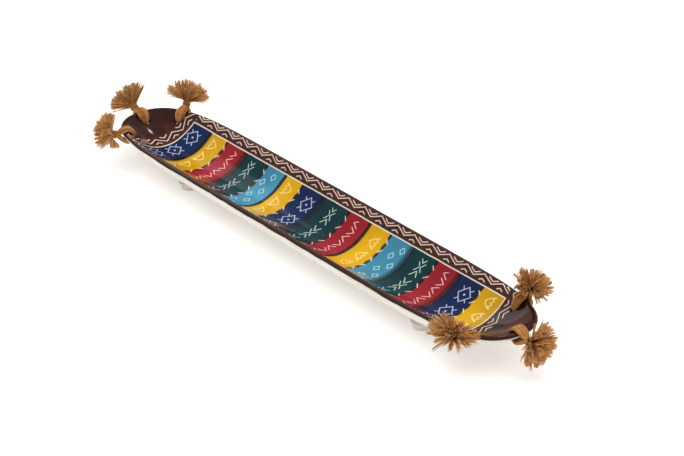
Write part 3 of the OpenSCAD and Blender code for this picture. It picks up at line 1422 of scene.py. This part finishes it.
@dataclass(frozen=True)
class Spray:
    """One lobe of a tassel's loose ends.

    Args:
        share: Its part of the strands.
        up: Lean of its middle away from the tassel's line, towards its upper side, in degrees.
        side: Lean of its middle sideways, in degrees.
        open_up: Half angle of its opening, up and down.
        open_side: Half angle of its opening, sideways.
        length: Length of its strands in millimetres.
        droop: How far the ends sink, in millimetres.
    """

    share: float
    up: float
    side: float
    open_up: float
    open_side: float
    length: float
    droop: float


LOOP_TURNS = (22, 40, 62, 88, 118, 148, 180, 212, 242, 272, 298, 320, 338)
GOLDEN_TURN = 2.39996
FLOOR_CLEAR = 0.0012
WRAP_SEED, ENDS_SEED, SEED_STEP = 100, 200, 11


@dataclass
class Tassel:
    """One tassel: its loop round the rim, the wrapping at its neck and its loose ends. Sizes are in millimetres.

    Args:
        name: The place's name, as in the CAD bodies.
        sprays: The lobes of its loose ends.
        seed: Seed of its random draws.
        yarns: Number of yarns in the loose ends.
        fibres: Strands that each of them has come apart into.
        strand_radius: Radius of such a strand.
        loop_yarns: Yarns side by side in the loop.
        loop_layers: Layers of yarn in the loop.
        loop_radius: Radius of the loop's inner side.
        loop_half: Half the loop's width where it lies free.
        hole_half: Half its width in the hole.
        tie_half: Half its width at the tie.
        loop_thick: Thickness of its layers where it lies free.
        squeeze: How far round the loop the hole and the tie squeeze it, in radians.
        yarn_radius: Radius of a yarn in the loop.
        wall_slope: Slope of the wall at the hole, in degrees.
        hole_reach: Distance from the rim's bar to the hole's centre.
        neck: Radius of the neck inside the wrapping.
        neck_reach: Distance from the rim's bar to the neck.
        wrap_turns: Turns of the wrapping.
        wrap_length: Length that it covers.
        wrap_radius: Radius of its yarn.
        blend_reach: Half the length of a span along the hole's direction, which the loop works out but does not use.
        pivot: Centre of the swing.
        out: Direction of the tassel.
        up: Direction of its upper side.
        side: Direction across it.
        tie_reach: Distance from the swing's centre to the sway's.
    """

    name: str
    sprays: Sequence[Spray]
    seed: int
    yarns: int = 130
    fibres: int = 5
    strand_radius: float = 0.33
    loop_yarns: int = 7
    loop_layers: int = 4
    loop_radius: float = 4.65
    loop_half: float = 4.0
    hole_half: float = 1.9
    tie_half: float = 2.4
    loop_thick: float = 1.3
    squeeze: float = 0.62
    yarn_radius: float = 0.60
    wall_slope: float = 38.0
    hole_reach: float = 6.3
    neck: float = 2.1
    neck_reach: float = 9.9
    wrap_turns: float = 3.4
    wrap_length: float = 2.1
    wrap_radius: float = 0.52
    blend_reach: float = 5.0
    pivot: Vector = field(init=False)
    out: Vector = field(init=False)
    up: Vector = field(init=False)
    side: Vector = field(init=False)
    tie_reach: float = field(init=False)

    def __post_init__(self) -> None:
        """Reads the tassel's place from its two joints."""
        joints = {joint["name"]: joint for joint in frame["joints"]}
        swing, sway = joints[f"{self.name}_swing"], joints[f"{self.name}_sway"]
        self.pivot = Vector(swing["pos_m"]) / MM
        reach = Vector(sway["pos_m"]) / MM - self.pivot
        self.tie_reach = reach.length
        self.out = reach.normalized()
        self.up = Vector(sway["axis"]).normalized()
        self.side = self.up.cross(self.out)

    @property
    def level(self) -> Vector:
        """Level direction away from the tray."""
        return Vector((self.out.x, self.out.y, 0.0)).normalized()

    @property
    def rise(self) -> float:
        """Angle of the tassel above level, in radians."""
        return math.atan2(self.out.z, math.hypot(self.out.x, self.out.y))

    def hole(self) -> tuple[Vector, Vector]:
        """Places the tassel's hole.

        Returns:
            Its centre in millimetres and its direction.
        """
        slope = math.radians(self.wall_slope)
        inward = -self.level * math.cos(slope) - Vector((0, 0, math.sin(slope)))
        square = -self.level * math.sin(slope) + Vector((0, 0, math.cos(slope)))
        return self.pivot + inward * self.hole_reach, square

    def placed(self, local: np.ndarray) -> np.ndarray:
        """Puts points of the tassel's own axes (out, up, side, in millimetres) in place, in metres."""
        axes = np.array([self.out, self.up, self.side])
        return (local @ axes + np.array(self.pivot)) * MM

    def ring_knot(self, turn: float, lateral: np.ndarray, layer: np.ndarray, rng: np.random.Generator) -> np.ndarray:
        """Places the loop's yarns at one turn round the rim's bar.

        Args:
            turn: The turn from the tassel's own direction, in radians.
            lateral: Place of each yarn across the loop, -1 to 1.
            layer: Layer of each yarn, 0 inside to 1 outside.
            rng: The loop's random draws.

        Returns:
            One point for each yarn, in the tassel's own axes.
        """
        hole_swell, tie_swell, hole_lift, tie_lift, flatness, scatter = 1.6, 1.5, 0.9, 0.4, 0.75, 0.08
        hole_turn = math.pi + math.radians(self.wall_slope) - self.rise
        off = (turn - hole_turn + math.pi) % (2 * math.pi) - math.pi
        narrow = math.exp(-((off / self.squeeze) ** 2))
        near_tie = math.exp(-((min(turn, 2 * math.pi - turn) / self.squeeze) ** 2))
        free_half = self.loop_half * (1 - narrow) * (1 - near_tie)
        half = free_half + self.hole_half * narrow + self.tie_half * near_tie * (1 - narrow)
        thick = self.loop_thick + hole_swell * narrow + tie_swell * near_tie
        rounding = np.sqrt(np.maximum(0.0, 1 - (lateral * flatness) ** 2))
        radius = self.loop_radius + hole_lift * narrow + layer * thick * rounding + tie_lift * near_tie
        radius = radius + rng.normal(0, scatter, len(lateral))
        return np.stack([radius * math.cos(turn), radius * math.sin(turn), lateral * half], 1)

    def neck_knot(self, lateral: np.ndarray, layer: np.ndarray, height: float, back: float) -> np.ndarray:
        """Places the loop's yarns where they enter the neck.

        Args:
            lateral: Place of each yarn across the loop, -1 to 1.
            layer: Layer of each yarn, 0 inside to 1 outside.
            height: Half the neck's height there, with the sign of the side that the yarns come from.
            back: Distance short of the neck.

        Returns:
            One point for each yarn, in the tassel's own axes.
        """
        rounding, middle, rise, width = 0.8, 0.5, 0.6, 1.35
        spread = np.sqrt(np.maximum(0.0, 1 - (lateral * rounding) ** 2))
        up = np.sign(height) * (abs(height) * middle + layer * abs(height) * rise) * spread
        return np.stack([np.full(len(lateral), self.neck_reach - back), up, lateral * width], 1)

    def loop(self, finish: bpy.types.Material) -> bpy.types.Object:
        """Models the yarns that pass through the hole and round the rim.

        Args:
            finish: The yarn's material.

        Returns:
            The piece.
        """
        steps, sides, colour_reach, taper, scatter, uneven = 72, 7, 0.62, 0.14, 0.05, 0.12
        rng = np.random.default_rng(self.seed)
        layers = self.loop_layers
        count = self.loop_yarns * layers
        layer = np.repeat(np.linspace(0, 1, layers), self.loop_yarns)
        lateral = np.tile(np.linspace(-1, 1, self.loop_yarns), layers) * (1 - taper * layer)
        lateral = lateral + rng.normal(0, scatter, count)
        knots = [self.neck_knot(lateral, layer, 1.0, 0.0), self.neck_knot(lateral, layer, 1.35, 1.5)]
        knots += [self.ring_knot(math.radians(turn), lateral, layer, rng) for turn in LOOP_TURNS]
        knots += [self.neck_knot(lateral, layer, -1.35, 1.5), self.neck_knot(lateral, layer, -1.0, 0.0)]
        paths = smooth_path(np.stack(knots, 1), steps)
        radii = np.full(paths.shape[:2], self.yarn_radius) * rng.uniform(1 - uneven, 1 + uneven, (count, 1))
        # The loop is coloured part way from the root, darkened with painted shade, towards the pale tip.
        reach = np.full(paths.shape[:2], colour_reach)
        tones = rng.uniform(0, 1, count)
        piece = Yarn.spin(f"{self.name}_yarn_loop", self.placed(paths), radii * MM, sides, tones, reach, finish)
        hole, _ = self.hole()
        half = (hole - self.pivot).normalized() * self.blend_reach
        start, end = (self.pivot + half) * MM, (self.pivot - half) * MM
        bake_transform(piece)
        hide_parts(f"{self.name}_loop")
        return piece

    def wrapping(self, finish: bpy.types.Material) -> bpy.types.Object:
        """Models the yarn wound round the neck.

        Args:
            finish: The yarn's material.

        Returns:
            The piece.
        """
        steps, sides, tone, colour_reach = 96, 8, 0.35, 0.4
        before, sway, over, swell = 0.35, 0.22, 0.62, 0.12
        rng = np.random.default_rng(self.seed + WRAP_SEED)
        t = np.linspace(0, 1, steps)
        angle = t * self.wrap_turns * 2 * math.pi + rng.uniform(0, 6)
        reach = self.tie_reach - before + self.wrap_length * t + sway * np.sin(angle + 1)
        radius = self.neck + over + swell * np.sin(angle / 2)
        path = self.placed(np.stack([reach, radius * np.cos(angle), radius * np.sin(angle)], 1)[None])
        # The wrapping is coloured part way from the root, darkened with painted shade, towards the pale tip.
        radii, colour_reach_all = np.full((1, steps), self.wrap_radius), np.full((1, steps), colour_reach)
        piece = Yarn.spin(f"{self.name}_yarn_tie", path, radii * MM, sides, np.array([tone]), colour_reach_all, finish)
        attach(piece, f"{self.name}_tassel")
        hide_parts(f"{self.name}_tie")
        return piece

    def lobe(self, spray: Spray, steps: int, rng: np.random.Generator) -> np.ndarray:
        """Draws the strands of one lobe of the loose ends.

        Args:
            spray: The lobe.
            steps: Points along a strand.
            rng: The loose ends' random draws.

        Returns:
            The strands' points in the tassel's own axes, by strand, step and axis.
        """
        tuft_scatter, strand_scatter, root_scatter, wave, strand_wave = 0.09, 0.055, 0.22, 0.09, 0.05
        straight, bend_run, inside_neck, tied = 1.6, 4.2, 0.3, 2.4
        yarns = round(self.yarns * spray.share)
        ring = np.sqrt((np.arange(yarns) + 0.5) / yarns)
        turn = np.arange(yarns) * GOLDEN_TURN + rng.normal(0, 0.25, yarns)
        lean_up = np.radians(spray.up + spray.open_up * ring * np.sin(turn)) + rng.normal(0, tuft_scatter, yarns)
        lean_side = np.radians(spray.side + spray.open_side * ring * np.cos(turn))
        lean_side = lean_side + rng.normal(0, tuft_scatter, yarns)
        reach = spray.length * rng.uniform(0.86, 1.06, yarns)
        root = self.neck * ring[:, None] * np.stack([np.sin(turn), np.cos(turn)], 1)
        curl = rng.normal(0, wave, (yarns, 3))
        lean_up, lean_side, reach = (np.repeat(part, self.fibres) for part in (lean_up, lean_side, reach))
        root, curl = np.repeat(root, self.fibres, 0), np.repeat(curl, self.fibres, 0)
        count = len(reach)
        lean_up = lean_up + rng.normal(0, strand_scatter, count)
        lean_side = lean_side + rng.normal(0, strand_scatter, count)
        away = np.hypot(lean_up, lean_side) + 1e-6
        goal = np.stack([np.cos(away), np.sin(away) * lean_up / away, np.sin(away) * lean_side / away], 1)
        length = reach * rng.uniform(0.95, 1.03, count)
        root = root + rng.normal(0, root_scatter, (count, 2))
        path = [np.concatenate([np.full((count, 1), self.tie_reach - inside_neck), root], 1)]
        curl = curl + rng.normal(0, strand_wave, (count, 3))
        down = np.array([-self.out.z, -self.up.z, -self.side.z])
        for step in range(1, steps):
            travelled = step / (steps - 1)
            bend = np.clip((travelled * length - straight) / bend_run, 0, 1)
            bend = (bend * bend * (3 - 2 * bend))[:, None]
            ahead = goal * bend + np.array([1.0, 0, 0]) * (1 - bend)
            ahead = ahead + curl * travelled + down * (spray.droop / spray.length * 2 * travelled)
            ahead /= np.linalg.norm(ahead, axis=1, keepdims=True)
            path.append(path[-1] + ahead * (length[:, None] + tied) / (steps - 1))
        return np.stack(path, 1)

    def ends(self, finish: bpy.types.Material) -> bpy.types.Object:
        """Models the loose ends that spray out past the wrapping.

        Args:
            finish: The yarn's material.

        Returns:
            The piece.
        """
        steps, sides, tip_share, tone_scatter = 9, 5, 0.72, 0.15
        rng = np.random.default_rng(self.seed + ENDS_SEED)
        paths = self.placed(np.concatenate([self.lobe(spray, steps, rng) for spray in self.sprays]))
        paths[:, :, 2] = np.maximum(paths[:, :, 2], FLOOR_CLEAR)
        count = len(paths)
        radii = self.strand_radius * rng.uniform(0.8, 1.2, (count, 1)) * np.linspace(1.0, tip_share, steps)[None]
        tones = np.repeat(rng.uniform(0, 1, (count + self.fibres - 1) // self.fibres), self.fibres)[:count]
        tones = np.clip(tones + rng.normal(0, tone_scatter, count), 0, 1)
        reach = np.broadcast_to(np.linspace(0, 1, steps)[None], (count, steps))
        piece = Yarn.spin(f"{self.name}_yarn_ends", paths, radii * MM, sides, tones, reach, finish)
        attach(piece, f"{self.name}_tassel")
        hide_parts(f"{self.name}_fringe")
        return piece

    def build(self, finishes: dict[str, bpy.types.Material]) -> list[bpy.types.Object]:
        """Models and dresses the whole tassel.

        Args:
            finishes: The yarn's materials by part.

        Returns:
            Its three pieces.
        """
        return [self.loop(finishes["loop"]), self.wrapping(finishes["tie"]), self.ends(finishes["ends"])]


# ---------------------------------------------------------------- studio


@dataclass(frozen=True)
class Softbox:
    """One rectangular soft light, in metres and watts.

    Args:
        name: The light's name.
        place: Where it hangs.
        aim: The point it faces.
        size: Its width and height.
        power: Its power.
        mirrored: Whether gloss shows it.
    """

    name: str
    place: tuple[float, float, float]
    aim: tuple[float, float, float]
    size: tuple[float, float]
    power: float
    mirrored: bool = True

    def hang(self) -> None:
        """Makes the light and turns it to its aim."""
        data = bpy.data.lights.new(self.name, "AREA")
        data.shape, data.energy = "RECTANGLE", self.power
        data.size, data.size_y = self.size
        light = bpy.data.objects.new(self.name, data)
        bpy.context.scene.collection.objects.link(light)
        light.location = self.place
        light.rotation_euler = (Vector(self.aim) - Vector(self.place)).to_track_quat("-Z", "Y").to_euler()
        light.visible_glossy = self.mirrored


SOFTBOXES = (
    Softbox("overhead_fill", (0.1, 0.0, 1.6), (0.0, 0.0, 0.0), (2.6, 2.6), 38.0, mirrored=False),
    Softbox("key_softbox", (-0.47, 0.71, 0.96), (-0.205, 0.0, 0.02), (0.07, 0.05), 0.3),
    Softbox("end_panel", (-0.95, 0.10, 0.62), (0.19, 0.015, 0.02), (0.6, 0.4), 0.5),
)


@dataclass
class Studio:
    """Pale floor, soft light and the camera.

    Args:
        form: The tray's sizes.
        azimuth: Direction the camera looks in, in degrees from +Y.
        elevation: Its height above level, in degrees.
        roll: Its turn about its own axis, in degrees.
        lens: Its focal length in millimetres.
        distance: Its distance in metres.
        aim_right: How far the rim's middle stands right of the view's middle, in metres.
        aim_up: How far it stands above the view's middle.
        floor_size: Side of the floor in metres.
        room_light: Strength of the light from all round.
    """

    form: TrayForm
    azimuth: float = 51.50
    elevation: float = 28.38
    roll: float = -0.93
    lens: float = 120.24
    distance: float = 1.67007
    aim_right: float = -0.021418
    aim_up: float = 0.012171
    floor_size: float = 16.0
    room_light: float = 0.34

    def camera(self) -> None:
        """Places the camera towards the rim's middle."""
        a, e, turn = (math.radians(value) for value in (self.azimuth, self.elevation, self.roll))
        back = Vector((math.sin(a) * math.cos(e), -math.cos(a) * math.cos(e), math.sin(e)))
        level = Vector((math.cos(a), math.sin(a), 0.0))
        upright = back.cross(level)
        right = level * math.cos(turn) + upright * math.sin(turn)
        top = upright * math.cos(turn) - level * math.sin(turn)
        data = bpy.data.cameras.new("studio_camera")
        sensor, nearest, farthest = 36.0, 0.05, 50.0
        data.lens, data.sensor_width = self.lens, sensor
        data.dof.use_dof = False
        data.clip_start, data.clip_end = nearest, farthest
        camera = bpy.data.objects.new("studio_camera", data)
        bpy.context.scene.collection.objects.link(camera)
        camera.matrix_world = Matrix((right, top, back)).transposed().to_4x4()
        rim_centre = Vector((0.0, 0.0, self.form.height * MM))
        camera.location = rim_centre + back * self.distance - right * self.aim_right - top * self.aim_up
        bpy.context.scene.camera = camera

    def floor(self) -> None:
        """Lays the pale floor."""
        deselect()
        bpy.ops.mesh.primitive_plane_add(size=self.floor_size)
        floor = bpy.context.object
        floor.name = "studio_floor"
        with editing(floor):
            bpy.ops.mesh.select_all(action="SELECT")
            bpy.ops.mesh.subdivide(number_cuts=3)
        floor.data.materials.append(FloorFinish().build())

    def build(self) -> None:
        """Builds the studio."""
        self.camera()
        self.floor()
        world = bpy.data.worlds.new("studio_world")
        world.use_nodes = True
        background = world.node_tree.nodes["Background"]
        background.inputs["Color"].default_value = (1.0, 1.0, 1.0, 1.0)
        background.inputs["Strength"].default_value = self.room_light
        bpy.context.scene.world = world
        bpy.context.scene.view_settings.view_transform = "Standard"
        for softbox in SOFTBOXES:
            softbox.hang()


YARN_COLOURS = {
    "loop": ("loop_yarn", (150, 92, 42), (196, 140, 80)),
    "tie": ("tie_yarn", (140, 88, 40), (176, 124, 68)),
    "ends": ("loose_yarn", (164, 90, 32), (236, 180, 114)),
}
TASSELS = {
    "left_back": (Spray(1.0, 4, 4, 56, 74, 17.5, 0.6),),
    "left_tip": (Spray(0.5, 40, -8, 17, 20, 17.5, 0.4), Spray(0.5, -6, 32, 24, 24, 17.5, 1.0)),
    "left_front": (
        Spray(0.50, 54, -4, 34, 58, 16.5, 0.6),
        Spray(0.30, 0, 10, 34, 56, 15.0, 1.0),
        Spray(0.20, -104, 6, 30, 46, 12.0, 0.5),
    ),
    "right_back": (Spray(0.86, 12, -32, 72, 62, 15.0, 0.8), Spray(0.12, 104, -8, 20, 34, 11.5, 0.6)),
    "right_tip": (Spray(0.92, 10, 4, 66, 66, 16.5, 0.6), Spray(0.08, -60, -34, 12, 12, 16.5, 2.0)),
    "right_front": (Spray(1.0, 10, 10, 34, 80, 16.8, 0.3),),
}


def main() -> None:
    """Builds every piece in order."""
    logging.basicConfig(level=logging.INFO, format="%(name)s: %(message)s")
    form = TrayForm.from_frame()
    Studio(form).build()
    LOG.info("studio ready")
    tassels = [Tassel(name, sprays, SEED_STEP * (i + 1)) for i, (name, sprays) in enumerate(TASSELS.items())]
    body = TrayBody(form, [tassel.hole() for tassel in tassels]).build(GlazeFinish().build())
    LOG.info("%s: %d points", body.name, len(body.data.vertices))
    finishes = {
        part: YarnFinish(name, paint_colour(*root), paint_colour(*tip)).build()
        for part, (name, root, tip) in YARN_COLOURS.items()
    }
    for tassel in tassels:
        for piece in tassel.build(finishes):
            LOG.info("%s: %d points", piece.name, len(piece.data.vertices))


if __name__ == "__main__":
    main()
